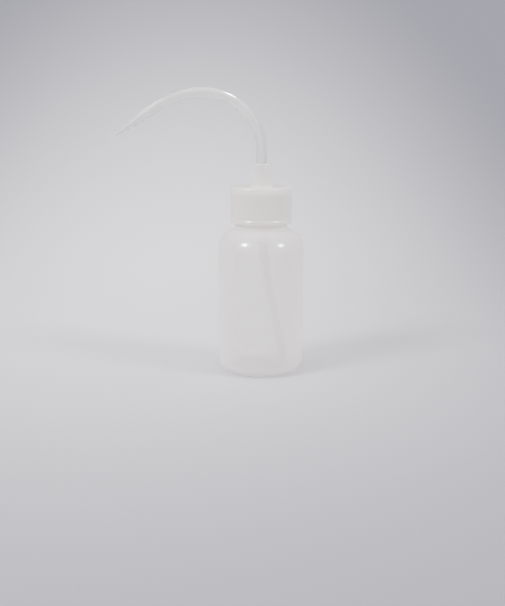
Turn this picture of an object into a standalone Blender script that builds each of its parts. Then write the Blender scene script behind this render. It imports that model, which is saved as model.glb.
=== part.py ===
"""Small laboratory wash bottle: squeeze bottle, screw cap, sealing disc, delivery tube, dip tube.

Metres, +Z up. The origin is on the bottle's axis at the level of the table it stands on.
The delivery tube points to -X, and the front of the bottle, with its graduations, faces -Y.
"""

import math

import bmesh
import bpy
from mathutils import Vector

# ---- driving dimensions (metres, degrees) ----
SIDES = 48                  # facets round the bottle, cap and disc
TUBE_SIDES = 16             # facets round the tubes
FIT_GAP = 0.0003            # gap kept between neighbouring pieces

# bottle
BODY_RADIUS = 0.023
BODY_WALL = 0.0010
HEEL_RADIUS = 0.0070
FOOT_INNER_RADIUS = 0.0135  # the standing ring runs from here to the heel
PUSH_UP = 0.0008            # rise of the base inside the standing ring
PUSH_UP_RADIUS = 0.0105
BASE_THICKNESS = 0.0014
SHOULDER_RADIUS = 0.012
SHOULDER_START = 0.066      # height where the straight wall ends
NECK_RING_RADIUS = 0.0139   # plain ring of the neck that shows under the cap
NECK_RING_TOP = 0.0812
NECK_ROOT_RADIUS = 0.0132
NECK_BORE_RADIUS = 0.0116
LIP_HEIGHT = 0.0964
LIP_ROUNDING = 0.0004

# graduations: moulded lines, one each 10 ml
GRADUATION_COUNT = 10
GRADUATION_VOLUME = 10e-6
GRADUATION_ZERO = 0.0022
GRADUATION_PROUD = 0.00018
GRADUATION_DEPTH = 0.0004   # how far a line's solid reaches into the wall
GRADUATION_WIDTH = 0.0005
GRADUATION_START = -14.5    # degrees from the front, where every line begins
GRADUATION_SHORT = 15.0     # degrees of wall that a line covers
GRADUATION_LONG = 21.0
GRADUATION_LONG_EVERY = 5

# screw thread, the same for neck and cap: right-handed, one turn in six to the inch
PITCH = 0.0254 / 6
THREAD_TURNS = 1.15
THREAD_DEPTH = 0.0011
THREAD_ROOT_HALF = 0.00105
THREAD_CREST_HALF = 0.00045
THREAD_EMBED = 0.0004       # how far a thread's solid reaches into its wall
THREAD_RUN_OUT = 26.0       # degrees over which each end of a thread fades
THREAD_STEP = 7.5           # degrees between sections of a thread
THREAD_FIRST_ANGLE = 190.0  # keeps the sections off the facets' corners
NECK_THREAD_LOW = 0.0883    # middle of the neck's thread at its lower end

# cap
CAP_BOTTOM = 0.0804
CAP_TOP = 0.0999
CAP_WALL_RADIUS = 0.01635
CAP_BAND_RADIUS = 0.01655
CAP_BAND_TOP = 0.0824
CAP_BAND_ROUNDING = 0.0009
CAP_BAND_SHOULDER = 0.0003
CAP_RIM_ROUNDING = 0.0009
CAP_INNER_RADIUS = 0.0147
CAP_DECK_UNDERSIDE = 0.0980
BOSS_FOOT_RADIUS = 0.0061
BOSS_TOP_RADIUS = 0.0049
BOSS_TOP = 0.1120
BOSS_FILLET = 0.0008
BOSS_RIM_ROUNDING = 0.0005
SPIGOT_RADIUS = 0.0050      # sleeve under the deck that steadies the dip tube
SPIGOT_BOTTOM = 0.0935
STOP_RADIUS = 0.0021        # ring in the bore that both tubes stop against
STOP_BOTTOM = 0.1041
STOP_TOP = 0.1055

# sealing disc
DISC_RADIUS = 0.0142
DISC_HOLE_RADIUS = SPIGOT_RADIUS + 0.0004
DISC_THICKNESS = 0.0010

# tubes
TUBE_RADIUS = 0.0028
TUBE_WALL = 0.0009
BORE_RADIUS = TUBE_RADIUS + FIT_GAP
RISER_TOP = 0.1180          # the delivery tube is straight up to here
ARCH_RADIUS = 0.0313
ARCH_TURN = 102.0           # degrees
REACH_RADIUS = 0.0550
REACH_TURN = 22.0
TIP_RUN = 0.0286            # straight length after the arch
DRAWN_LENGTH = 0.0240       # length over which the tube is drawn out to its tip
TIP_RADIUS = 0.0006
TIP_BORE_RADIUS = 0.00035
DIP_STRAIGHT_END = 0.0920   # the dip tube is straight above here
DIP_CURVE_RADIUS = 0.250
DIP_CURVE_TURN = 12.9
DIP_END_HEIGHT = 0.0042

INK = {
    "bottle_ldpe": ((0.80, 0.80, 0.79, 1.0), 0.32),
    "cap_ldpe": ((0.78, 0.77, 0.75, 1.0), 0.38),
    "disc_foam": ((0.86, 0.86, 0.84, 1.0), 0.65),
    "delivery_ldpe": ((0.82, 0.82, 0.81, 1.0), 0.26),
    "dip_ldpe": ((0.80, 0.80, 0.79, 1.0), 0.30),
}


# ---- helpers ----
def material(name):
    """Principled material of one piece."""
    colour, roughness = INK[name]
    made = bpy.data.materials.new(name)
    made.use_nodes = True
    shader = made.node_tree.nodes["Principled BSDF"]
    shader.inputs["Base Color"].default_value = colour
    shader.inputs["Roughness"].default_value = roughness
    shader.inputs["Metallic"].default_value = 0.0
    made.diffuse_color = colour
    return made


def add_object(name, bm, material_name=None, smooth_angle=35.0):
    """Turn a bmesh into a named object with outward faces and smooth round surfaces."""
    bmesh.ops.recalc_face_normals(bm, faces=bm.faces)
    mesh = bpy.data.meshes.new(name)
    bm.to_mesh(mesh)
    bm.free()
    mesh.shade_smooth()
    mesh.set_sharp_from_angle(angle=math.radians(smooth_angle))
    made = bpy.data.objects.new(name, mesh)
    bpy.context.scene.collection.objects.link(made)
    if material_name:
        made.data.materials.append(material(material_name))
    return made


def add_guide(name, bm):
    """A solid that is only joined to another one."""
    made = add_object(name, bm)
    made.hide_render = True
    made.display_type = "WIRE"
    return made


def join_to(piece, guide):
    """Boolean union that stays on the piece."""
    union = piece.modifiers.new("join_" + guide.name, "BOOLEAN")
    union.operation = "UNION"
    union.solver = "EXACT"
    union.object = guide


def arc(centre, radius, start, end, steps):
    """Points on an arc in the plane of radius and height; angles in degrees from outward."""
    points = []
    for step in range(steps + 1):
        angle = math.radians(start + (end - start) * step / steps)
        points.append((centre[0] + radius * math.cos(angle), centre[1] + radius * math.sin(angle)))
    return points


def turned(outline, closed):
    """Spin an outline of (radius, height) points about Z. A closed one is a ring-like section."""
    bm = bmesh.new()
    verts = [bm.verts.new((radius, 0.0, height)) for radius, height in outline]
    pairs = list(zip(verts, verts[1:]))
    if closed:
        pairs.append((verts[-1], verts[0]))
    edges = [bm.edges.new(pair) for pair in pairs]
    bmesh.ops.spin(
        bm, geom=verts + edges, cent=(0, 0, 0), axis=(0, 0, 1),
        angle=2 * math.pi, steps=SIDES, use_merge=True,
    )
    bmesh.ops.remove_doubles(bm, verts=bm.verts, dist=1e-6)
    return bm


# ---- bottle ----
def bottle_outline():
    """Outside from the middle of the base up to the lip, then down the inside."""
    heel_centre = (BODY_RADIUS - HEEL_RADIUS, HEEL_RADIUS)
    shoulder_centre = (BODY_RADIUS - SHOULDER_RADIUS, SHOULDER_START)
    ring_angle = math.degrees(math.acos((NECK_RING_RADIUS - shoulder_centre[0]) / SHOULDER_RADIUS))
    points = [(0.0, PUSH_UP), (PUSH_UP_RADIUS, PUSH_UP), (FOOT_INNER_RADIUS, 0.0)]
    points += arc(heel_centre, HEEL_RADIUS, -90, 0, 6)
    points += arc(shoulder_centre, SHOULDER_RADIUS, 0, ring_angle, 8)
    points += [
        (NECK_RING_RADIUS, NECK_RING_TOP - 0.0004),
        (NECK_RING_RADIUS - 0.0002, NECK_RING_TOP),
        (NECK_ROOT_RADIUS, NECK_RING_TOP),
        (NECK_ROOT_RADIUS, LIP_HEIGHT - LIP_ROUNDING),
        (NECK_ROOT_RADIUS - LIP_ROUNDING, LIP_HEIGHT),
        (NECK_BORE_RADIUS + LIP_ROUNDING, LIP_HEIGHT),
        (NECK_BORE_RADIUS, LIP_HEIGHT - LIP_ROUNDING),
    ]
    inner_shoulder = SHOULDER_RADIUS - BODY_WALL
    bore_angle = math.degrees(math.acos((NECK_BORE_RADIUS - shoulder_centre[0]) / inner_shoulder))
    points += arc(shoulder_centre, inner_shoulder, bore_angle, 0, 8)
    inner_heel = HEEL_RADIUS - BASE_THICKNESS
    heel_inner_centre = (BODY_RADIUS - BODY_WALL - inner_heel, BASE_THICKNESS + inner_heel)
    points += arc(heel_inner_centre, inner_heel, 0, -90, 5)
    floor = BASE_THICKNESS + PUSH_UP
    points += [(FOOT_INNER_RADIUS, BASE_THICKNESS), (PUSH_UP_RADIUS, floor), (0.0, floor)]
    return points


def thread_ridge(wall_radius, inward, low_height):
    """Helical ridge with faded ends, growing out of a wall at wall_radius."""
    sign = -1 if inward else 1
    count = int(round(THREAD_TURNS * 360 / THREAD_STEP))
    span = count * THREAD_STEP
    bm = bmesh.new()
    sections = []
    for index in range(count + 1):
        along = index * THREAD_STEP
        fade = min(1.0, along / THREAD_RUN_OUT, (span - along) / THREAD_RUN_OUT)
        grow = 0.06 + 0.94 * fade
        angle = math.radians(THREAD_FIRST_ANGLE + along)
        middle = low_height + PITCH * along / 360
        buried = wall_radius - sign * THREAD_EMBED
        crest = wall_radius + sign * THREAD_DEPTH * grow
        half_root = THREAD_ROOT_HALF * (0.5 + 0.5 * grow)
        half_crest = THREAD_CREST_HALF * (0.5 + 0.5 * grow)
        corners = [
            (buried, middle - half_root), (buried, middle + half_root),
            (crest, middle + half_crest), (crest, middle - half_crest),
        ]
        sections.append([
            bm.verts.new((radius * math.cos(angle), radius * math.sin(angle), height))
            for radius, height in corners
        ])
    for one, two in zip(sections, sections[1:]):
        for corner in range(4):
            after = (corner + 1) % 4
            bm.faces.new((one[corner], one[after], two[after], two[corner]))
    bm.faces.new(sections[0])
    bm.faces.new(reversed(sections[-1]))
    return bm


def graduation_height(number):
    """Height of the liquid surface when the bottle holds number graduations."""
    section = math.pi * (BODY_RADIUS - BODY_WALL) ** 2
    return GRADUATION_ZERO + number * GRADUATION_VOLUME / section


def wall_radius_at(height):
    """Outer radius of the wall, at or just above the straight part."""
    above = max(0.0, height - SHOULDER_START)
    return BODY_RADIUS - SHOULDER_RADIUS + math.sqrt(SHOULDER_RADIUS ** 2 - above ** 2)


def graduation_lines():
    """All the moulded lines, each a short curved bar that starts at the same angle."""
    bm = bmesh.new()
    for number in range(1, GRADUATION_COUNT + 1):
        height = graduation_height(number)
        outer = wall_radius_at(height) + GRADUATION_PROUD
        inner = wall_radius_at(height) - GRADUATION_DEPTH
        half = GRADUATION_WIDTH / 2
        is_long = number % GRADUATION_LONG_EVERY == 0
        span = GRADUATION_LONG if is_long else GRADUATION_SHORT
        steps = max(2, int(round(span / 4)))
        rings = []
        for step in range(steps + 1):
            angle = math.radians(-90 + GRADUATION_START + span * step / steps)
            section = [(inner, -half), (outer, -half), (outer, half), (inner, half)]
            rings.append([
                bm.verts.new((radius * math.cos(angle), radius * math.sin(angle), height + offset))
                for radius, offset in section
            ])
        for one, two in zip(rings, rings[1:]):
            for corner in range(4):
                after = (corner + 1) % 4
                bm.faces.new((one[corner], one[after], two[after], two[corner]))
        bm.faces.new(rings[0])
        bm.faces.new(reversed(rings[-1]))
    return bm


def make_bottle():
    bottle = add_object("bottle", turned(bottle_outline(), closed=False), "bottle_ldpe")
    neck_thread = thread_ridge(NECK_ROOT_RADIUS, inward=False, low_height=NECK_THREAD_LOW)
    join_to(bottle, add_guide("neck_thread_guide", neck_thread))
    join_to(bottle, add_guide("graduation_guide", graduation_lines()))
    return bottle


# ---- cap and sealing disc ----
def cap_outline():
    """Ring-like section: up the outside, over the boss, down the bore, back under the deck."""
    band_low = (CAP_BAND_RADIUS - CAP_BAND_ROUNDING, CAP_BOTTOM + CAP_BAND_ROUNDING)
    rim = (CAP_WALL_RADIUS - CAP_RIM_ROUNDING, CAP_TOP - CAP_RIM_ROUNDING)
    fillet = (BOSS_FOOT_RADIUS + BOSS_FILLET, CAP_TOP + BOSS_FILLET)
    boss_rim = (BOSS_TOP_RADIUS - BOSS_RIM_ROUNDING, BOSS_TOP - BOSS_RIM_ROUNDING)
    points = [(CAP_INNER_RADIUS, CAP_BOTTOM)]
    points += arc(band_low, CAP_BAND_ROUNDING, -90, 0, 3)
    points += [
        (CAP_BAND_RADIUS, CAP_BAND_TOP - CAP_BAND_SHOULDER),
        (CAP_WALL_RADIUS, CAP_BAND_TOP),
    ]
    points += arc(rim, CAP_RIM_ROUNDING, 0, 90, 3)
    points += arc(fillet, BOSS_FILLET, 270, 180, 2)
    points += arc(boss_rim, BOSS_RIM_ROUNDING, 0, 90, 2)
    points += [
        (BORE_RADIUS, BOSS_TOP), (BORE_RADIUS, STOP_TOP),
        (STOP_RADIUS, STOP_TOP), (STOP_RADIUS, STOP_BOTTOM),
        (BORE_RADIUS, STOP_BOTTOM), (BORE_RADIUS, SPIGOT_BOTTOM),
        (SPIGOT_RADIUS, SPIGOT_BOTTOM), (SPIGOT_RADIUS, CAP_DECK_UNDERSIDE),
        (CAP_INNER_RADIUS, CAP_DECK_UNDERSIDE),
    ]
    return points


def make_cap():
    cap = add_object("screw_cap", turned(cap_outline(), closed=True), "cap_ldpe")
    low = NECK_THREAD_LOW - PITCH / 2
    ridge = thread_ridge(CAP_INNER_RADIUS, inward=True, low_height=low)
    join_to(cap, add_guide("cap_thread_guide", ridge))
    return cap


def make_disc():
    bottom = LIP_HEIGHT + FIT_GAP
    top = bottom + DISC_THICKNESS
    outline = [
        (DISC_HOLE_RADIUS, bottom), (DISC_RADIUS, bottom),
        (DISC_RADIUS, top), (DISC_HOLE_RADIUS, top),
    ]
    return add_object("sealing_disc", turned(outline, closed=True), "disc_foam")


# ---- tubes ----
def bend(path, heading, radius, turn, steps, left):
    """Carry a path on round an arc; heading is in degrees from +X towards +Z."""
    sign = 1 if left else -1
    start = path[-1][0]
    side = math.radians(heading + 90 * sign)
    centre = start + radius * Vector((math.cos(side), 0, math.sin(side)))
    for step in range(1, steps + 1):
        now = heading + sign * turn * step / steps
        back = math.radians(now - 90 * sign)
        place = centre + radius * Vector((math.cos(back), 0, math.sin(back)))
        path.append((place, now))
    return heading + sign * turn


def run_straight(path, heading, length, steps):
    """Carry a path straight on."""
    start = path[-1][0]
    way = Vector((math.cos(math.radians(heading)), 0, math.sin(math.radians(heading))))
    for step in range(1, steps + 1):
        path.append((start + way * length * step / steps, heading))


def tube_mesh(path, outer_radii, inner_radii):
    """Hollow tube along a path in the XZ plane, open at both ends."""
    bm = bmesh.new()
    skins = []
    for radii in (outer_radii, inner_radii):
        rings = []
        for (place, heading), radius in zip(path, radii):
            across = Vector((-math.sin(math.radians(heading)), 0, math.cos(math.radians(heading))))
            ring = []
            for side in range(TUBE_SIDES):
                angle = 2 * math.pi * side / TUBE_SIDES
                offset = across * math.cos(angle) + Vector((0, 1, 0)) * math.sin(angle)
                ring.append(bm.verts.new(place + radius * offset))
            rings.append(ring)
        skins.append(rings)
    for rings in skins:
        for one, two in zip(rings, rings[1:]):
            for side in range(TUBE_SIDES):
                after = (side + 1) % TUBE_SIDES
                bm.faces.new((one[side], one[after], two[after], two[side]))
    for end in (0, -1):
        outer, inner = skins[0][end], skins[1][end]
        for side in range(TUBE_SIDES):
            after = (side + 1) % TUBE_SIDES
            bm.faces.new((outer[side], outer[after], inner[after], inner[side]))
    return bm


def delivery_radii(path):
    """Outer and inner radii: full size, then drawn out smoothly to the fine tip."""
    left = [0.0]
    for (one, _), (two, _) in zip(reversed(path[1:]), reversed(path[:-1])):
        left.append(left[-1] + (one - two).length)
    outer, inner = [], []
    for distance in reversed(left):
        part = min(1.0, distance / DRAWN_LENGTH)
        full = part * part * (3 - 2 * part)
        outer.append(TIP_RADIUS + (TUBE_RADIUS - TIP_RADIUS) * full)
        inner.append(TIP_BORE_RADIUS + (TUBE_RADIUS - TUBE_WALL - TIP_BORE_RADIUS) * full)
    return outer, inner


def make_delivery_tube():
    path = [(Vector((0, 0, STOP_TOP + FIT_GAP)), 90.0)]
    run_straight(path, 90.0, RISER_TOP - STOP_TOP - FIT_GAP, 2)
    heading = bend(path, 90.0, ARCH_RADIUS, ARCH_TURN, 16, left=True)
    heading = bend(path, heading, REACH_RADIUS, REACH_TURN, 3, left=True)
    run_straight(path, heading, TIP_RUN, 8)
    outer, inner = delivery_radii(path)
    return add_object("delivery_tube", tube_mesh(path, outer, inner), "delivery_ldpe")


def make_dip_tube():
    path = [(Vector((0, 0, STOP_BOTTOM - FIT_GAP)), -90.0)]
    run_straight(path, -90.0, STOP_BOTTOM - FIT_GAP - DIP_STRAIGHT_END, 1)
    heading = bend(path, -90.0, DIP_CURVE_RADIUS, DIP_CURVE_TURN, 8, left=True)
    height_left = path[-1][0].z - DIP_END_HEIGHT
    run_straight(path, heading, height_left / math.cos(math.radians(DIP_CURVE_TURN)), 1)
    outer = [TUBE_RADIUS] * len(path)
    inner = [TUBE_RADIUS - TUBE_WALL] * len(path)
    return add_object("dip_tube", tube_mesh(path, outer, inner), "dip_ldpe")


def main():
    for old in list(bpy.data.objects):
        bpy.data.objects.remove(old)
    make_bottle()
    make_cap()
    make_disc()
    make_delivery_tube()
    make_dip_tube()


main()
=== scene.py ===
"""Looks of the wash bottle: fine surfaces, translucent polyethylene, studio floor, lamps, camera.

Metres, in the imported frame: the origin is on the bottle's axis at the table, the delivery tube
points to -X and the graduations face -Y.
"""

import math

import bmesh
import bpy
from mathutils import Matrix, Vector


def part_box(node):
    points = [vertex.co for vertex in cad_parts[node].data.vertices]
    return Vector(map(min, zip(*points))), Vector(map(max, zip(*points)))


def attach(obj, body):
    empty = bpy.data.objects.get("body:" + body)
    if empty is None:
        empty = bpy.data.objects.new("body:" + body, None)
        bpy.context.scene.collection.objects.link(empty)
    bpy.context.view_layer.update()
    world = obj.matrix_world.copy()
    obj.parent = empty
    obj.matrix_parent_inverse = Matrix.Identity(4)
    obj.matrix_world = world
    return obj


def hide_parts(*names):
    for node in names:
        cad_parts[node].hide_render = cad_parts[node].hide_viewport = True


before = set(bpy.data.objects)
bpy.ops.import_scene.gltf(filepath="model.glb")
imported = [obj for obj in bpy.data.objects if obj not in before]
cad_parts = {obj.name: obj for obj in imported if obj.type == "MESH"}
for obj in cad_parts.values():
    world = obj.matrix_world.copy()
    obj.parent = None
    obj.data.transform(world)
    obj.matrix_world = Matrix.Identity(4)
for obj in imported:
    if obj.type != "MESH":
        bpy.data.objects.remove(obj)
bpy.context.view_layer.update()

# ---- sizes taken from the frame ----
_, BOTTLE_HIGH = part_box("bottle")
CAP_LOW, CAP_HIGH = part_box("screw_cap")
DISC_LOW, DISC_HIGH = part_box("sealing_disc")
DELIVERY_LOW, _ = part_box("delivery_tube")
DIP_LOW, DIP_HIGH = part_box("dip_tube")

# ---- fineness of the surfaces ----
SHARP_ANGLE = 40.0          # degrees, above which an edge is not smoothed
ROUNDING_STEPS = 4          # points on a small rounding, less one
SHOULDER_STEPS = 80         # fine, because the lamps' glints lie on the shoulder
HEEL_STEPS = 16
INNER_STEPS = 16
INNER_HEEL_STEPS = 12
NECK_STEP = 0.00026
BASE_STEP = 0.0015
CAP_STEP = 0.0025
CAP_THREAD_STEP = 0.00032
DISC_STEP = 0.003
STRAIGHT_STEP = 0.0015
ARCH_STEP = 0.001
DRAWN_STEP = 0.0007
DIP_STEP = 0.002
CAP_SIDES = 300
DISC_SIDES = 120
TUBE_SIDES = 40
BOTTLE_SIDES = 360

# ---- bottle ----
BODY_RADIUS = BOTTLE_HIGH.x
LIP_HEIGHT = BOTTLE_HIGH.z
BODY_WALL = 0.0010
SEAM_PROUD = 0.00005        # height of the mould's parting line
SEAM_HALF_ANGLE = 1.0       # degrees
SEAM_STEEPNESS = 1.5        # of its flanks
HEEL_RADIUS = 0.0070
FOOT_INNER_RADIUS = 0.0135
PUSH_UP = 0.0008
PUSH_UP_RADIUS = 0.0105
PUSH_UP_ROUNDING = 0.004
FOOT_ROUNDING = 0.0015
BASE_THICKNESS = 0.0014
SHOULDER_RADIUS = 0.012
SHOULDER_START = 0.066
NECK_RING_RADIUS = 0.0139
NECK_RING_TOP = 0.0812
NECK_ROOT_RADIUS = 0.0132
NECK_BORE_RADIUS = 0.0116
NECK_ROUNDING = 0.0002      # of the corners at the neck's foot
NECK_RING_ROUNDING = 0.0003
LIP_ROUNDING = 0.0004
LIP_DEPTH = 0.001           # straight stretch of the bore under the lip
OUTSIDE_SLOPE = 0.3         # least outward part of a normal on the outside of the wall
NECK_FOOT_TURN = 4          # degrees by which the shoulder stops short of the neck ring
NECK_FOOT_RISE = 0.0011     # and the height over which the two then meet

# graduations
GRADUATION_COUNT = 10
GRADUATION_VOLUME = 10e-6
GRADUATION_ZERO = 0.0022
GRADUATION_PROUD = 0.00018
GRADUATION_HALF_WIDTH = 0.00032
GRADUATION_STEEPNESS = 1.6  # of its flanks
GRADUATION_START = -14.5    # degrees from the front, where every line begins
GRADUATION_SHORT = 15.0     # degrees that a short line runs
GRADUATION_LONG = 21.0
GRADUATION_END = 0.6        # degrees over which a line's end fades
GRADUATION_LONG_EVERY = 5
GRADUATION_ROWS = (-1.8, -1.0, -0.6, -0.3, 0, 0.3, 0.6, 1.0, 1.8)  # rows of points, in half widths

# screw thread
PITCH = 0.0254 / 6
THREAD_TURNS = 1.15
THREAD_DEPTH = 0.0011
THREAD_ROOT_HALF = 0.00105
THREAD_CREST_HALF = 0.00045
THREAD_RUN_OUT = 26.0       # degrees over which the thread's ends fade
THREAD_FIRST_ANGLE = 190.0  # degrees from +X at which the thread begins
NECK_THREAD_LOW = 0.0883
CAP_THREAD_TOP = NECK_THREAD_LOW + 0.0045
CAP_THREAD_SLOPE = -0.9     # greatest outward part of a normal on the wall that carries the thread

# cap
CAP_BOTTOM = CAP_LOW.z
CAP_TOP = 0.0999
CAP_WALL_RADIUS = 0.01625
CAP_BAND_RADIUS = CAP_HIGH.x
CAP_INNER_RADIUS = 0.0147
CAP_DECK_UNDERSIDE = 0.0980
BOSS_FOOT_RADIUS = 0.0061
BOSS_TOP_RADIUS = 0.0049
BOSS_TOP = CAP_HIGH.z
SPIGOT_RADIUS = 0.0050
SPIGOT_BOTTOM = 0.0935
STOP_RADIUS = 0.0021
STOP_BOTTOM = 0.1041
STOP_TOP = 0.1055
CAP_FOOT_ROUNDING = 0.0015  # of the band, whose section is part of a circle
CAP_FOOT_STEPS = 36
CAP_FOOT_GUARD = 0.00015    # keeps the wall's smoothing out of the band
CAP_MOUTH_DEPTH = 0.001     # height over which the cap's mouth has no thread
CAP_MOUTH_ROUNDING = 0.0001
CAP_EDGE_ROUNDING = 0.0009
BOSS_FOOT_ROUNDING = 0.0008
BOSS_TOP_ROUNDING = 0.0005
BORE_MOUTH_ROUNDING = 0.0003
STOP_ROUNDING = 0.0002
INNER_ROUNDING = 0.0004
DISC_ROUNDING = 0.0002
DISC_CLEARANCE = 0.0004     # between the disc and the sleeve that it hangs on
DISC_START = 0.001          # from its inner edge to where its outline starts, on the underside

# tubes
TUBE_RADIUS = 0.0028
TUBE_WALL = 0.0009
BORE_RADIUS = 0.0031
RISER_TOP = 0.1180
ARCH_RADIUS = 0.0313
ARCH_TURN = 102.0
REACH_RADIUS = 0.0550
REACH_TURN = 22.0
TIP_RUN = 0.0286
DRAWN_LENGTH = 0.0240
TIP_RADIUS = 0.0006
TIP_BORE_RADIUS = 0.00035
DIP_STRAIGHT_END = 0.0920
DIP_CURVE_RADIUS = 0.250
DIP_CURVE_TURN = 12.9

# polyethylene
GLOSS_FACING = 0.05         # share of light mirrored where the surface faces the eye
GLOSS_EDGE = 0.35           # and where it is seen edge-on
GLOSS_POWER = 5.0           # how late the gloss rises towards the edge
IOR = 1.51
CLOUD_RANGE = (0.3, 0.7)    # values of the noise between which the tint changes
RUB_SCALE = 900.0           # of the fine rubbing that varies the roughness
RUB_SPREAD = (0.85, 1.2)    # shares of the roughness between which it varies
WAVE_SCALE = 220.0          # of the moulded surface's slight waves
WAVE_HEIGHT = 0.0004
MOULDED_WAVES = 0.08        # strength of the waves on moulded pieces
DRAWN_WAVES = 0.006         # and on drawn tubing
INSIDE_ROUGHNESS = 0.3      # of the inside of the bottle, which has no gloss
BOTTLE_ROUGHNESS = 0.21
BOTTLE_WALL = dict(
    light=(0.997, 0.961, 0.938), dark=(0.989, 0.951, 0.928), clear=0.78, edge_clear=0.55, grain=0.02,
    thick=((0.0, 1.0), (0.072, 1.0), (0.080, 0.45)))
CAP_WALL = dict(
    light=(0.995, 0.97, 0.95), dark=(0.985, 0.955, 0.935), clear=0.38, edge_clear=0.12,
    roughness=0.25, grain=0.012, shine=1.3,
    thick=((0.0805, 1.0), (0.0955, 1.0), (0.0975, 0.6), (0.110, 1.25)))
DELIVERY_WALL = dict(
    light=(0.99, 0.99, 0.985), dark=(0.975, 0.975, 0.97), milk=0.27, roughness=0.11, grain=0.01)
DIP_WALL = dict(
    light=(0.985, 0.98, 0.99), dark=(0.97, 0.965, 0.975), clear=0.68, edge_clear=0.35,
    roughness=0.16, grain=0.01)

# stage
PAINTED_LIGHT_MIDDLE = (-0.075, 0.31, 0.0)    # middle of the pool of light painted on the paper
PAINTED_LIGHT_FADE = (0.44, 0.75, 0.52)     # distances along X, Y and Z over which the painted light fades to painted shade
ROOM_LEFT, ROOM_RIGHT = 1.24, 0.80  # light that reaches the bottle from the room on either side
# colours of the painted light in the pool and of the painted shade away from it
PAINTED_LIGHT_COLOUR = (0.81, 0.79, 0.83)
PAINTED_SHADE_COLOUR = (0.203, 0.20, 0.24)
ROOM_COLOUR = (1.0, 0.975, 1.0)
AIM = Vector((0, 0, 0.07))  # point on the bottle that the lamps face
WINDOW_DISTANCE = 2.2
WINDOW_SIZE = 0.66
WINDOWS = (                 # name, azimuth, elevation, power, power of its glint
    ("right", 63, 33, 49.0, 82.0),
    ("left", -53, 37.5, 60.0, 150.0),
)
GLINT_DISTANCE = 2.0
GLINT_SIZE = 0.2
SPOUT_GLINTS = (            # name, azimuth, elevation, power
    ("arch_glint", 110, 66, 260.0),
    ("tip_glint", -103, 52, 15.0),
)
SPOUT_GLINT_SIZE = 0.4
POOL_LAMP_PLACE = Vector((-0.06, -0.03, 1.1))
POOL_LAMP_POWER = 35.0
POOL_LAMP_SPREAD = 46       # degrees
POOL_LAMP_RADIUS = 0.3


# ---- outlines ----
def arc(centre, radius, start, end, steps):
    """Points on an arc in the plane of radius and height; angles in degrees from outward."""
    points = []
    for step in range(steps + 1):
        angle = math.radians(start + (end - start) * step / steps)
        points.append((centre[0] + radius * math.cos(angle), centre[1] + radius * math.sin(angle)))
    return points


def rounded(corners):
    """Outline through corners (radius, height, rounding), each cut by an arc of its rounding."""
    points = []
    for index, (radius, height, rounding) in enumerate(corners):
        here = Vector((radius, height))
        if rounding == 0 or index in (0, len(corners) - 1):
            points.append((radius, height))
            continue
        back = (Vector(corners[index - 1][:2]) - here).normalized()
        ahead = (Vector(corners[index + 1][:2]) - here).normalized()
        half = back.angle(ahead) / 2
        centre = here + (back + ahead).normalized() * rounding / math.sin(half)
        first = here + back * rounding / math.tan(half) - centre
        last = here + ahead * rounding / math.tan(half) - centre
        turn = first.angle_signed(last)
        for step in range(ROUNDING_STEPS + 1):
            spoke = Matrix.Rotation(-turn * step / ROUNDING_STEPS, 2) @ first
            points.append(tuple(centre + spoke))
    return points


def no_longer_than(points, longest):
    """The same outline with points added so that no stretch is longer than longest."""
    dense = [points[0]]
    for one, two in zip(points, points[1:]):
        count = max(1, math.ceil(math.dist(one, two) / longest - 1e-6))
        for step in range(1, count + 1):
            part = step / count
            dense.append((one[0] + (two[0] - one[0]) * part, one[1] + (two[1] - one[1]) * part))
    return dense


# ---- surfaces ----
def finish_object(name, bm):
    """Turn a bmesh into a smooth object with outward faces."""
    bmesh.ops.recalc_face_normals(bm, faces=bm.faces)
    mesh = bpy.data.meshes.new(name)
    bm.to_mesh(mesh)
    bm.free()
    mesh.shade_smooth()
    mesh.set_sharp_from_angle(angle=math.radians(SHARP_ANGLE))
    made = bpy.data.objects.new(name, mesh)
    bpy.context.scene.collection.objects.link(made)
    return made


def outline_normals(outline, closed):
    """Unit normals, to the right of the way an outline runs, in the plane of radius and height."""
    normals = []
    last = len(outline) - 1
    for index in range(len(outline)):
        before = outline[index - 1] if index or closed else outline[0]
        after = outline[(index + 1) % len(outline)] if index < last or closed else outline[last]
        way = Vector(after) - Vector(before)
        normals.append(Vector((way.y, -way.x)).normalized())
    return normals


def revolved(name, outline, sides, relief, closed):
    """Surface of revolution; relief(radius, height, degrees, normal) raises each point."""
    angles = [360 * step / sides for step in range(sides)]
    bm = bmesh.new()
    rings = []
    for (radius, height), normal in zip(outline, outline_normals(outline, closed)):
        if radius < 1e-7:
            rings.append([bm.verts.new((0, 0, height))])
            continue
        ring = []
        for degrees in angles:
            raised = relief(radius, height, degrees, normal)
            out = radius + raised * normal.x
            up = height + raised * normal.y
            turn = math.radians(degrees)
            ring.append(bm.verts.new((out * math.cos(turn), out * math.sin(turn), up)))
        rings.append(ring)
    pairs = list(zip(rings, rings[1:]))
    if closed:
        pairs.append((rings[-1], rings[0]))
    for one, two in pairs:
        for side in range(sides):
            after = (side + 1) % sides
            if len(one) == 1:
                bm.faces.new((one[0], two[side], two[after]))
            elif len(two) == 1:
                bm.faces.new((one[side], two[0], one[after]))
            else:
                bm.faces.new((one[side], two[side], two[after], one[after]))
    return finish_object(name, bm)


def smooth(value):
    """Smooth step from 0 to 1, held outside."""
    part = min(1.0, max(0.0, value))
    return part * part * (3 - 2 * part)


def thread_relief(height, degrees, low_height):
    """Height of the helical ridge above its wall, from 0 to 1 of its depth."""
    span = THREAD_TURNS * 360
    raised = 0.0
    along = (degrees - THREAD_FIRST_ANGLE) % 360
    while along <= span:
        off = abs(height - low_height - PITCH * along / 360)
        flank = (THREAD_ROOT_HALF - off) / (THREAD_ROOT_HALF - THREAD_CREST_HALF)
        fade = min(along, span - along) / THREAD_RUN_OUT
        raised = max(raised, smooth(flank) * smooth(fade))
        along += 360
    return raised


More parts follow.
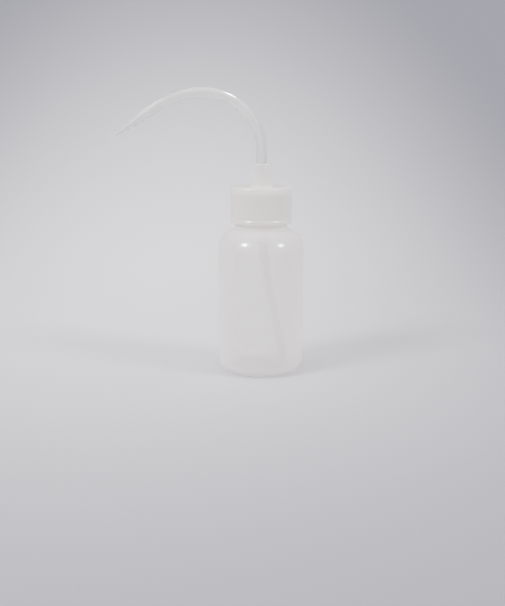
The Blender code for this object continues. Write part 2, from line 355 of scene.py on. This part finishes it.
# ---- bottle ----
def graduation_height(number):
    """Level of the liquid after so many steps of volume."""
    section = math.pi * (BODY_RADIUS - BODY_WALL) ** 2
    return GRADUATION_ZERO + number * GRADUATION_VOLUME / section


def graduation_relief(height, degrees):
    """Moulded lines: 1 on the crest of a line, 0 away from it."""
    nearest = round((height - GRADUATION_ZERO) / (graduation_height(1) - GRADUATION_ZERO))
    if not 1 <= nearest <= GRADUATION_COUNT:
        return 0.0
    off = abs(height - graduation_height(nearest)) / GRADUATION_HALF_WIDTH
    long_line = nearest % GRADUATION_LONG_EVERY == 0
    span = GRADUATION_LONG if long_line else GRADUATION_SHORT
    along = (degrees + 90 - GRADUATION_START + 180) % 360 - 180
    inside = min(along, span - along)
    return smooth(GRADUATION_STEEPNESS * (1 - off)) * smooth(inside / GRADUATION_END + 0.5)


def bottle_relief(radius, height, degrees, normal):
    """Parting line, graduations and neck thread, all on the outside of the wall."""
    outside = radius > NECK_ROOT_RADIUS - NECK_ROUNDING and normal.x > OUTSIDE_SLOPE
    if not outside:
        return 0.0
    seam_off = abs((degrees + 90) % 180 - 90) / SEAM_HALF_ANGLE
    raised = SEAM_PROUD * (smooth(SEAM_STEEPNESS * (1 - seam_off)) - 1)
    if NECK_RING_TOP < height < LIP_HEIGHT:
        raised += THREAD_DEPTH * thread_relief(height, degrees, NECK_THREAD_LOW)
    return raised + GRADUATION_PROUD * graduation_relief(height, degrees)


def bottle_outline():
    """Outside from the middle of the base to the lip, then down the inside."""
    heel = (BODY_RADIUS - HEEL_RADIUS, HEEL_RADIUS)
    shoulder = (BODY_RADIUS - SHOULDER_RADIUS, SHOULDER_START)
    ring_angle = math.degrees(math.acos((NECK_RING_RADIUS - shoulder[0]) / SHOULDER_RADIUS))
    base = rounded([
        (0, PUSH_UP, 0), (PUSH_UP_RADIUS, PUSH_UP, PUSH_UP_ROUNDING),
        (FOOT_INNER_RADIUS, 0, FOOT_ROUNDING), (heel[0], 0, 0),
    ])
    points = no_longer_than(base, BASE_STEP)
    points += arc(heel, HEEL_RADIUS, -90, 0, HEEL_STEPS)[1:]
    wall_heights = []
    for number in range(1, GRADUATION_COUNT):
        for row in GRADUATION_ROWS:
            wall_heights.append(graduation_height(number) + row * GRADUATION_HALF_WIDTH)
    points += [(BODY_RADIUS, height) for height in wall_heights if height > HEEL_RADIUS]
    points += arc(shoulder, SHOULDER_RADIUS, 0, ring_angle - NECK_FOOT_TURN, SHOULDER_STEPS)
    neck = rounded([
        points[-1] + (0,),
        (NECK_RING_RADIUS, points[-1][1] + NECK_FOOT_RISE, NECK_ROUNDING),
        (NECK_RING_RADIUS, NECK_RING_TOP, NECK_RING_ROUNDING),
        (NECK_ROOT_RADIUS, NECK_RING_TOP, NECK_ROUNDING),
        (NECK_ROOT_RADIUS, LIP_HEIGHT, LIP_ROUNDING),
        (NECK_BORE_RADIUS, LIP_HEIGHT, LIP_ROUNDING),
        (NECK_BORE_RADIUS, LIP_HEIGHT - LIP_DEPTH, 0),
    ])
    points += no_longer_than(neck, NECK_STEP)[1:]
    inner = SHOULDER_RADIUS - BODY_WALL
    bore_angle = math.degrees(math.acos((NECK_BORE_RADIUS - shoulder[0]) / inner))
    points += arc(shoulder, inner, bore_angle, 0, INNER_STEPS)
    inner_heel = HEEL_RADIUS - BASE_THICKNESS
    centre = (BODY_RADIUS - BODY_WALL - inner_heel, BASE_THICKNESS + inner_heel)
    points += arc(centre, inner_heel, 0, -90, INNER_HEEL_STEPS)
    floor = BASE_THICKNESS + PUSH_UP
    points += rounded([
        points[-1] + (0,), (FOOT_INNER_RADIUS, BASE_THICKNESS, FOOT_ROUNDING),
        (PUSH_UP_RADIUS, floor, PUSH_UP_ROUNDING), (0, floor, 0),
    ])[1:]
    return points


def make_bottle():
    piece = revolved("bottle_shell", bottle_outline(), BOTTLE_SIDES, bottle_relief, closed=False)
    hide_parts("bottle")
    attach(piece, "bottle_body")
    return piece


# ---- cap and sealing disc ----
def cap_relief(radius, height, degrees, normal):
    """The thread inside."""
    if normal.x < CAP_THREAD_SLOPE and radius > CAP_INNER_RADIUS - CAP_MOUTH_ROUNDING:
        return THREAD_DEPTH * thread_relief(height, degrees, NECK_THREAD_LOW - PITCH / 2)
    return 0.0


def cap_outline():
    """Ring-like section: up the outside, over the boss, down the bore, back under the deck."""
    foot_middle = (CAP_BAND_RADIUS - CAP_FOOT_ROUNDING, CAP_BOTTOM + CAP_FOOT_ROUNDING)
    foot_turn = math.acos(1 - (CAP_BAND_RADIUS - CAP_WALL_RADIUS) / CAP_FOOT_ROUNDING)
    foot = arc(foot_middle, CAP_FOOT_ROUNDING, -90, math.degrees(foot_turn), CAP_FOOT_STEPS)
    foot_top = foot[-1][1]
    mouth_top = CAP_BOTTOM + CAP_MOUTH_DEPTH
    corners = [
        (CAP_INNER_RADIUS, mouth_top, 0),
        (CAP_INNER_RADIUS, CAP_BOTTOM, CAP_MOUTH_ROUNDING),
        *(place + (0,) for place in foot),
        (CAP_WALL_RADIUS, foot_top + CAP_FOOT_GUARD, 0),
        (CAP_WALL_RADIUS, CAP_TOP, CAP_EDGE_ROUNDING),
        (BOSS_FOOT_RADIUS, CAP_TOP, BOSS_FOOT_ROUNDING),
        (BOSS_TOP_RADIUS, BOSS_TOP, BOSS_TOP_ROUNDING),
        (BORE_RADIUS, BOSS_TOP, BORE_MOUTH_ROUNDING),
        (BORE_RADIUS, STOP_TOP, 0),
        (STOP_RADIUS, STOP_TOP, STOP_ROUNDING),
        (STOP_RADIUS, STOP_BOTTOM, STOP_ROUNDING),
        (BORE_RADIUS, STOP_BOTTOM, 0),
        (BORE_RADIUS, SPIGOT_BOTTOM, BORE_MOUTH_ROUNDING),
        (SPIGOT_RADIUS, SPIGOT_BOTTOM, INNER_ROUNDING),
        (SPIGOT_RADIUS, CAP_DECK_UNDERSIDE, INNER_ROUNDING),
        (CAP_INNER_RADIUS, CAP_DECK_UNDERSIDE, INNER_ROUNDING),
        (CAP_INNER_RADIUS, CAP_THREAD_TOP, 0),
    ]
    points = no_longer_than(rounded(corners), CAP_STEP)
    thread_zone = [(CAP_INNER_RADIUS, CAP_THREAD_TOP), (CAP_INNER_RADIUS, mouth_top)]
    return points + no_longer_than(thread_zone, CAP_THREAD_STEP)[1:-1]


def make_cap():
    piece = revolved("cap_shell", cap_outline(), CAP_SIDES, cap_relief, closed=True)
    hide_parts("screw_cap")
    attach(piece, "cap")
    return piece


def make_disc():
    """Flat ring of foam under the cap's deck."""
    outer = DISC_HIGH.x
    inner = SPIGOT_RADIUS + DISC_CLEARANCE
    start = (inner + DISC_START, DISC_LOW.z, 0)
    corners = [
        start,
        (outer, DISC_LOW.z, DISC_ROUNDING),
        (outer, DISC_HIGH.z, DISC_ROUNDING),
        (inner, DISC_HIGH.z, DISC_ROUNDING),
        (inner, DISC_LOW.z, DISC_ROUNDING),
        start,
    ]
    outline = no_longer_than(rounded(corners), DISC_STEP)[:-1]
    piece = revolved("seal_ring", outline, DISC_SIDES, lambda *_: 0.0, closed=True)
    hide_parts("sealing_disc")
    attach(piece, "disc")
    return piece


# ---- tubes ----
def bend(path, heading, radius, turn, longest):
    """Carry a path on round an arc to the left; heading is in degrees from +X towards +Z."""
    side = math.radians(heading + 90)
    centre = path[-1][0] + radius * Vector((math.cos(side), 0, math.sin(side)))
    steps = math.ceil(radius * math.radians(turn) / longest)
    for step in range(1, steps + 1):
        now = heading + turn * step / steps
        back = math.radians(now - 90)
        path.append((centre + radius * Vector((math.cos(back), 0, math.sin(back))), now))
    return heading + turn


def run_straight(path, heading, length, longest):
    """Carry a path straight on."""
    start = path[-1][0]
    way = Vector((math.cos(math.radians(heading)), 0, math.sin(math.radians(heading))))
    steps = math.ceil(length / longest)
    for step in range(1, steps + 1):
        path.append((start + way * length * step / steps, heading))


def tube_object(name, path, outer_radii, inner_radii):
    """Hollow tube along a path in the XZ plane, its two ends cut square."""
    skin = list(zip(path, outer_radii))
    bore = list(zip(path, inner_radii))
    loop = skin + bore[::-1]
    bm = bmesh.new()
    rings = []
    for (place, heading), radius in loop:
        across = Vector((-math.sin(math.radians(heading)), 0, math.cos(math.radians(heading))))
        ring = []
        for side in range(TUBE_SIDES):
            angle = 2 * math.pi * side / TUBE_SIDES
            offset = across * math.cos(angle) + Vector((0, 1, 0)) * math.sin(angle)
            ring.append(bm.verts.new(place + radius * offset))
        rings.append(ring)
    for one, two in zip(rings, rings[1:] + rings[:1]):
        for side in range(TUBE_SIDES):
            after = (side + 1) % TUBE_SIDES
            bm.faces.new((one[side], one[after], two[after], two[side]))
    return finish_object(name, bm)


def distances_to_end(path):
    """Length of path left after each of its points."""
    left = [0.0]
    for (one, _), (two, _) in zip(reversed(path[1:]), reversed(path[:-1])):
        left.append(left[-1] + (one - two).length)
    return left[::-1]


def make_delivery_tube():
    path = [(Vector((0, 0, DELIVERY_LOW.z)), 90.0)]
    run_straight(path, 90.0, RISER_TOP - DELIVERY_LOW.z, STRAIGHT_STEP)
    heading = bend(path, 90.0, ARCH_RADIUS, ARCH_TURN, ARCH_STEP)
    heading = bend(path, heading, REACH_RADIUS, REACH_TURN, ARCH_STEP)
    run_straight(path, heading, TIP_RUN, DRAWN_STEP)
    outer, inner = [], []
    for distance in distances_to_end(path):
        full = smooth(distance / DRAWN_LENGTH)
        outer.append(TIP_RADIUS + (TUBE_RADIUS - TIP_RADIUS) * full)
        inner.append(TIP_BORE_RADIUS + (TUBE_RADIUS - TUBE_WALL - TIP_BORE_RADIUS) * full)
    piece = tube_object("spout", path, outer, inner)
    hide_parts("delivery_tube")
    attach(piece, "delivery")
    return piece


def make_dip_tube():
    path = [(Vector((0, 0, DIP_HIGH.z)), -90.0)]
    run_straight(path, -90.0, DIP_HIGH.z - DIP_STRAIGHT_END, DIP_STEP)
    heading = bend(path, -90.0, DIP_CURVE_RADIUS, DIP_CURVE_TURN, DIP_STEP)
    lean = math.radians(DIP_CURVE_TURN)
    height_left = path[-1][0].z - DIP_LOW.z - TUBE_RADIUS * math.sin(lean)
    run_straight(path, heading, height_left / math.cos(lean), DIP_STEP)
    outer = [TUBE_RADIUS] * len(path)
    inner = [TUBE_RADIUS - TUBE_WALL] * len(path)
    piece = tube_object("straw", path, outer, inner)
    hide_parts("dip_tube")
    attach(piece, "dip")
    return piece


# ---- materials ----
def node(tree, kind, place, **settings):
    """Add a node; each setting is the name of one of its sockets or properties."""
    made = tree.nodes.new(kind)
    made.location = place
    for key, value in settings.items():
        if key in made.inputs:
            made.inputs[key].default_value = value
        else:
            setattr(made, key, value)
    return made


def milkier_where_thick(tree, place, solid, thick):
    """1 - (1 - solid) * share(height), with share running straight between the (height, share) pairs."""
    parts = node(tree, "ShaderNodeSeparateXYZ", (-900, 1000))
    tree.links.new(place, parts.inputs["Vector"])
    low, high = thick[0][0], thick[-1][0]
    along = node(tree, "ShaderNodeMapRange", (-700, 1000))
    along.inputs["From Min"].default_value = low
    along.inputs["From Max"].default_value = high
    tree.links.new(parts.outputs["Z"], along.inputs["Value"])
    share = node(tree, "ShaderNodeValToRGB", (-500, 1000))
    stops = share.color_ramp.elements
    for index, (height, value) in enumerate(thick):
        where = (height - low) / (high - low)
        stop = stops[index] if index < 2 else stops.new(where)
        stop.position = where
        stop.color = (value, value, value, 1)
    tree.links.new(along.outputs["Result"], share.inputs["Fac"])
    passed = node(tree, "ShaderNodeMath", (-100, 900), operation="SUBTRACT")
    passed.inputs[0].default_value = 1.0
    tree.links.new(solid, passed.inputs[1])
    scaled = node(tree, "ShaderNodeMath", (50, 900), operation="MULTIPLY")
    tree.links.new(passed.outputs["Value"], scaled.inputs[0])
    tree.links.new(share.outputs["Color"], scaled.inputs[1])
    left = node(tree, "ShaderNodeMath", (200, 900), operation="SUBTRACT")
    left.inputs[0].default_value = 1.0
    tree.links.new(scaled.outputs["Value"], left.inputs[1])
    return left.outputs["Value"]


def cloudy_plastic(name, light, dark, roughness, grain, wave_strength):
    """Material with a cloudy tint, an uneven roughness and slight waves.

    light and dark are the extremes of the tint and grain is the size of its clouds in metres.
    Returns the material and its sockets of place, tint, roughness and normal.
    """
    made = bpy.data.materials.new(name)
    made.use_nodes = True
    tree = made.node_tree
    shader = tree.nodes["Principled BSDF"]
    place = node(tree, "ShaderNodeTexCoord", (-1100, 0)).outputs["Object"]
    clouds = node(tree, "ShaderNodeTexNoise", (-900, 200), Scale=1 / grain, Detail=3.0, Roughness=0.55)
    tree.links.new(place, clouds.inputs["Vector"])
    tint = node(tree, "ShaderNodeValToRGB", (-600, 250))
    for stop, where, colour in zip(tint.color_ramp.elements, CLOUD_RANGE, (dark, light)):
        stop.position = where
        stop.color = (*colour, 1)
    tree.links.new(clouds.outputs["Fac"], tint.inputs["Fac"])
    tree.links.new(tint.outputs["Color"], shader.inputs["Base Color"])
    rub = node(tree, "ShaderNodeTexNoise", (-900, -100), Scale=RUB_SCALE, Detail=4.0, Roughness=0.6)
    tree.links.new(place, rub.inputs["Vector"])
    spread = node(tree, "ShaderNodeMapRange", (-600, -100))
    spread.inputs["To Min"].default_value = roughness * RUB_SPREAD[0]
    spread.inputs["To Max"].default_value = roughness * RUB_SPREAD[1]
    tree.links.new(rub.outputs["Fac"], spread.inputs["Value"])
    tree.links.new(spread.outputs["Result"], shader.inputs["Roughness"])
    waves = node(tree, "ShaderNodeTexNoise", (-900, -400), Scale=WAVE_SCALE, Detail=2.0)
    tree.links.new(place, waves.inputs["Vector"])
    bump = node(tree, "ShaderNodeBump", (-600, -400), Strength=wave_strength, Distance=WAVE_HEIGHT)
    tree.links.new(waves.outputs["Fac"], bump.inputs["Height"])
    tree.links.new(bump.outputs["Normal"], shader.inputs["Normal"])
    return made, place, tint.outputs["Color"], spread.outputs["Result"], bump.outputs["Normal"]


def gloss_share(tree, facing, shine):
    """Share of light that the outside mirrors, rising towards its edges; none from inside."""
    steep = node(tree, "ShaderNodeMath", (-300, 750), operation="POWER")
    steep.inputs[1].default_value = GLOSS_POWER
    tree.links.new(facing, steep.inputs[0])
    mirror = node(tree, "ShaderNodeMapRange", (-100, 750))
    mirror.inputs["To Min"].default_value = GLOSS_FACING * shine
    mirror.inputs["To Max"].default_value = GLOSS_EDGE * shine
    tree.links.new(steep.outputs["Value"], mirror.inputs["Value"])
    within = node(tree, "ShaderNodeNewGeometry", (-300, 950))
    outer = node(tree, "ShaderNodeMapRange", (-100, 1000))
    tree.links.new(within.outputs["Backfacing"], outer.inputs["Value"])
    tree.links.new(mirror.outputs["Result"], outer.inputs["To Min"])
    outer.inputs["To Max"].default_value = 0.0
    return outer.outputs["Result"]


def polyethylene(name, light, dark, clear, edge_clear, roughness, grain, thick=(), shine=1.0):
    """Natural polyethylene: a milky wall that passes light, under a waxy surface.

    light and dark are the extremes of its cloudy tint. clear is the share of the light that
    passes straight through the wall's surface where it faces the eye, edge_clear where it is seen
    edge-on, and grain is the size of the clouds in metres. thick lists heights as (height, share)
    between which the clear share is scaled, because a thick wall is milkier. shine scales its gloss.
    """
    made, place, tint, rough, normal = cloudy_plastic(name, light, dark, roughness, grain, MOULDED_WAVES)
    tree = made.node_tree
    shader = tree.nodes["Principled BSDF"]
    shader.inputs["Specular IOR Level"].default_value = 0.0

    glow = node(tree, "ShaderNodeBsdfTranslucent", (-100, -250))
    tree.links.new(tint, glow.inputs["Color"])
    milk = node(tree, "ShaderNodeMixShader", (150, 0), Fac=0.5)
    tree.links.new(shader.outputs["BSDF"], milk.inputs[1])
    tree.links.new(glow.outputs["BSDF"], milk.inputs[2])

    facing = node(tree, "ShaderNodeLayerWeight", (-500, 700), Blend=0.5).outputs["Facing"]
    share = node(tree, "ShaderNodeMapRange", (-100, 500))
    share.inputs["To Min"].default_value = 1 - clear
    share.inputs["To Max"].default_value = 1 - edge_clear
    tree.links.new(facing, share.inputs["Value"])
    solid = share.outputs["Result"]
    if thick:
        solid = milkier_where_thick(tree, place, solid, thick)
    window = node(tree, "ShaderNodeBsdfTransparent", (150, 250))
    wall = node(tree, "ShaderNodeMixShader", (400, 100))
    tree.links.new(solid, wall.inputs["Fac"])
    tree.links.new(window.outputs["BSDF"], wall.inputs[1])
    tree.links.new(milk.outputs["Shader"], wall.inputs[2])

    gloss = node(tree, "ShaderNodeBsdfGlossy", (150, 400))
    tree.links.new(rough, gloss.inputs["Roughness"])
    tree.links.new(normal, gloss.inputs["Normal"])
    skin = node(tree, "ShaderNodeMixShader", (650, 200))
    tree.links.new(gloss_share(tree, facing, shine), skin.inputs["Fac"])
    tree.links.new(wall.outputs["Shader"], skin.inputs[1])
    tree.links.new(gloss.outputs["BSDF"], skin.inputs[2])
    tree.links.new(skin.outputs["Shader"], tree.nodes["Material Output"].inputs["Surface"])
    return made


def clear_polyethylene(name, light, dark, milk, roughness, grain):
    """Natural polyethylene drawn as thin tubing: it bends the light that passes and is a little milky.

    light and dark are the extremes of its cloudy tint, milk the share of light that its body
    scatters, and grain the size of the clouds in metres.
    """
    made = cloudy_plastic(name, light, dark, roughness, grain, DRAWN_WAVES)[0]
    shader = made.node_tree.nodes["Principled BSDF"]
    shader.inputs["Transmission Weight"].default_value = 1 - milk
    shader.inputs["IOR"].default_value = IOR
    return made


def foam(name):
    """White closed-cell foam with fine pores."""
    made = bpy.data.materials.new(name)
    made.use_nodes = True
    tree = made.node_tree
    shader = tree.nodes["Principled BSDF"]
    shader.inputs["Roughness"].default_value = 0.7
    place = node(tree, "ShaderNodeTexCoord", (-900, 0)).outputs["Object"]
    pores = node(tree, "ShaderNodeTexVoronoi", (-700, 0), Scale=2600.0)
    tree.links.new(place, pores.inputs["Vector"])
    tint = node(tree, "ShaderNodeValToRGB", (-450, 100))
    tint.color_ramp.elements[0].color = (0.82, 0.82, 0.80, 1)
    tint.color_ramp.elements[1].color = (0.9, 0.9, 0.88, 1)
    tree.links.new(pores.outputs["Distance"], tint.inputs["Fac"])
    tree.links.new(tint.outputs["Color"], shader.inputs["Base Color"])
    bump = node(tree, "ShaderNodeBump", (-450, -200), Strength=0.3, Distance=0.0001)
    tree.links.new(pores.outputs["Distance"], bump.inputs["Height"])
    tree.links.new(bump.outputs["Normal"], shader.inputs["Normal"])
    return made


# ---- stage ----
def paper_with_painted_light():
    """Matt paper with a pool of light painted on the table behind the bottle, fading to painted shade
    away from it.
    """
    made = bpy.data.materials.new("paper")
    made.use_nodes = True
    tree = made.node_tree
    shader = tree.nodes["Principled BSDF"]
    shader.inputs["Roughness"].default_value = 0.9
    shader.inputs["Specular IOR Level"].default_value = 0.2
    place = node(tree, "ShaderNodeTexCoord", (-1300, 0)).outputs["Object"]
    pool = node(tree, "ShaderNodeMapping", (-1100, 0), vector_type="TEXTURE")
    pool.inputs["Location"].default_value = PAINTED_LIGHT_MIDDLE
    pool.inputs["Scale"].default_value = PAINTED_LIGHT_FADE
    tree.links.new(place, pool.inputs["Vector"])
    away = node(tree, "ShaderNodeVectorMath", (-900, 0), operation="LENGTH")
    tree.links.new(pool.outputs["Vector"], away.inputs[0])
    # painted light in the pool, turning to painted shade with distance from it
    tint = node(tree, "ShaderNodeValToRGB", (-700, 0))
    tint.color_ramp.interpolation = "EASE"
    tint.color_ramp.elements[0].color = (*PAINTED_LIGHT_COLOUR, 1)
    tint.color_ramp.elements[1].color = (*PAINTED_SHADE_COLOUR, 1)
    tree.links.new(away.outputs["Value"], tint.inputs["Fac"])
    tree.links.new(tint.outputs["Color"], shader.inputs["Base Color"])
    return made


def make_sweep():
    """Paper that lies under the bottle and curves up behind it."""
    half_width, front, back, bend_radius, top, steps = 1.6, -0.9, 0.75, 0.55, 1.6, 24
    bm = bmesh.new()
    profile = [(front, 0.0), (0.0, 0.0), (back - bend_radius, 0.0)]
    for step in range(1, steps + 1):
        angle = math.radians(90 * step / steps)
        profile.append((
            back - bend_radius + bend_radius * math.sin(angle),
            bend_radius - bend_radius * math.cos(angle),
        ))
    profile.append((back, top))
    rows = [[bm.verts.new((x, y, z)) for x in (-half_width, half_width)] for y, z in profile]
    for one, two in zip(rows, rows[1:]):
        bm.faces.new((one[0], one[1], two[1], two[0]))
    sweep = finish_object("paper_sweep", bm)
    sweep.data.materials.append(paper_with_painted_light())
    return sweep


def from_bottle(azimuth, elevation, distance):
    """Place at a distance from the bottle, and the way to it; azimuth is from -Y towards +X."""
    a, e = math.radians(azimuth), math.radians(elevation)
    way = Vector((math.sin(a) * math.cos(e), -math.cos(a) * math.cos(e), math.sin(e)))
    return AIM + way * distance, way


def add_lamp(name, data, place, way, power):
    """Lamp at a place, shining against way."""
    data.energy = power
    lamp = bpy.data.objects.new(name, data)
    lamp.location = place
    lamp.rotation_mode = "QUATERNION"
    lamp.rotation_quaternion = way.to_track_quat("Z", "Y")
    bpy.context.scene.collection.objects.link(lamp)
    return lamp


def window_lamp(name, azimuth, elevation, distance, size, power):
    """Square lamp that faces the bottle."""
    place, way = from_bottle(azimuth, elevation, distance)
    data = bpy.data.lights.new(name, "AREA")
    data.shape = "SQUARE"
    data.size = size
    return add_lamp(name, data, place, way, power)


def pool_lamp():
    """Broad soft spot from above, which lights the paper around the bottle most."""
    data = bpy.data.lights.new("pool_lamp", "SPOT")
    data.spot_size = math.radians(POOL_LAMP_SPREAD)
    data.spot_blend = 1.0
    data.shadow_soft_size = POOL_LAMP_RADIUS
    lamp = add_lamp("pool_lamp", data, POOL_LAMP_PLACE, Vector((0, 0, 1)), POOL_LAMP_POWER)
    lamp.visible_glossy = False


def only_glints(lamp, *pieces):
    """Let a lamp show only as a glint, and only on these pieces."""
    lamp.visible_diffuse = False
    lamp.visible_transmission = False
    lit = bpy.data.collections.new(lamp.name + "_receivers")
    for piece in pieces:
        lit.objects.link(piece)
    lamp.light_linking.receiver_collection = lit


def make_lights(body, cap, spout, straw):
    """Two windows, their glints, the spot from above and the room."""
    for name, azimuth, elevation, power, glint in WINDOWS:
        light = window_lamp(name + "_lamp", azimuth, elevation, WINDOW_DISTANCE, WINDOW_SIZE, power)
        light.visible_glossy = False
        shine = window_lamp(name + "_glint", azimuth, elevation, GLINT_DISTANCE, GLINT_SIZE, glint)
        only_glints(shine, body, cap, straw)
    for name, azimuth, elevation, power in SPOUT_GLINTS:
        shine = window_lamp(name, azimuth, elevation, WINDOW_DISTANCE, SPOUT_GLINT_SIZE, power)
        only_glints(shine, spout)
    pool_lamp()
    make_room()


def make_room():
    """Light from all around, stronger from the left."""
    world = bpy.data.worlds.new("studio")
    world.use_nodes = True
    tree = world.node_tree
    sky = tree.nodes["Background"]
    sky.inputs["Color"].default_value = (*ROOM_COLOUR, 1)
    way = node(tree, "ShaderNodeTexCoord", (-700, 0)).outputs["Generated"]
    parts = node(tree, "ShaderNodeSeparateXYZ", (-500, 0))
    tree.links.new(way, parts.inputs["Vector"])
    strength = node(tree, "ShaderNodeMapRange", (-300, 0))
    strength.inputs["From Min"].default_value = -1.0
    strength.inputs["To Min"].default_value = ROOM_LEFT
    strength.inputs["To Max"].default_value = ROOM_RIGHT
    tree.links.new(parts.outputs["X"], strength.inputs["Value"])
    tree.links.new(strength.outputs["Result"], sky.inputs["Strength"])
    bpy.context.scene.world = world


def make_camera():
    """Eye a little above the bottle, looking slightly down, square to its front."""
    distance, height, aside = 0.480, 0.136, -0.0045
    pitch, roll = 8.5, 0.32
    data = bpy.data.cameras.new("camera")
    data.sensor_width = 36.0
    data.lens = 53.4653
    data.shift_y = -1 / 12      # the photograph's picture fills the upper part of the frame
    camera = bpy.data.objects.new("camera", data)
    turn = Matrix.Rotation(math.radians(90 - pitch), 4, "X") @ Matrix.Rotation(math.radians(roll), 4, "Z")
    camera.matrix_world = Matrix.Translation((aside, -distance, height)) @ turn
    bpy.context.scene.collection.objects.link(camera)
    bpy.context.scene.camera = camera


def dress(piece, *materials):
    """Give a piece its materials; its faces then all have the first of them."""
    piece.data.materials.clear()
    for material in materials:
        piece.data.materials.append(material)


def line_inside(piece):
    """Give the faces of the bottle's inside and floor its second material."""
    for face in piece.data.polygons:
        inward = face.center.x * face.normal.x + face.center.y * face.normal.y < 0
        floor = face.normal.z > 0 and face.center.z < HEEL_RADIUS
        face.material_index = 1 if inward or floor else 0


make_camera()
make_sweep()
bottle, cap, disc = make_bottle(), make_cap(), make_disc()
spout, straw = make_delivery_tube(), make_dip_tube()
make_lights(bottle, cap, spout, straw)
dress(
    bottle,
    polyethylene("bottle_polyethylene", roughness=BOTTLE_ROUGHNESS, **BOTTLE_WALL),
    polyethylene("bottle_inside", roughness=INSIDE_ROUGHNESS, shine=0.0, **BOTTLE_WALL))
line_inside(bottle)
dress(cap, polyethylene("cap_polyethylene", **CAP_WALL))
dress(disc, foam("disc_foam"))
dress(spout, clear_polyethylene("delivery_polyethylene", **DELIVERY_WALL))
dress(straw, polyethylene("dip_polyethylene", **DIP_WALL))
